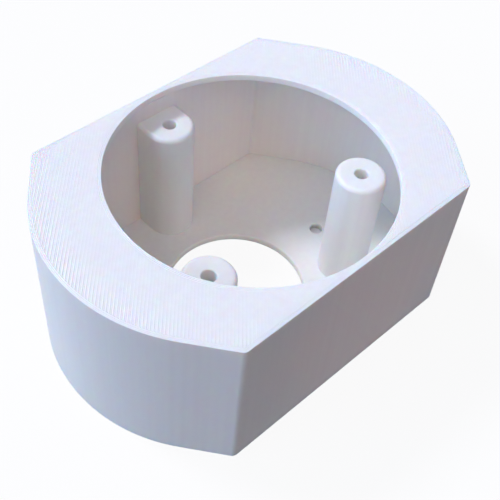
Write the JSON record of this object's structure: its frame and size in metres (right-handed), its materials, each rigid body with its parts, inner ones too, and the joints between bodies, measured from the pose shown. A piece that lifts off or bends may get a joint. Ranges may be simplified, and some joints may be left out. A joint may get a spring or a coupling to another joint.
{
  "type": "camera wall mount",
  "caption": "Hollow printed box with flat sides and round ends that holds a round-based camera on screw posts and leaves room for its cable.",
  "frame": {"origin": "centre of the body's outline on the face that lies on the wall", "axes": "+Z out of the wall towards the camera, +X along the body over its round ends, +Y across the flats towards the post that is joined to the wall of the body"},
  "size_m": [0.122, 0.0834, 0.049],
  "materials": {
    "printed_plastic": "matte white with fine print lines"
  },
  "bodies": {
    "root": {"mount_body": "printed_plastic"}
  },
  "joints": []
}
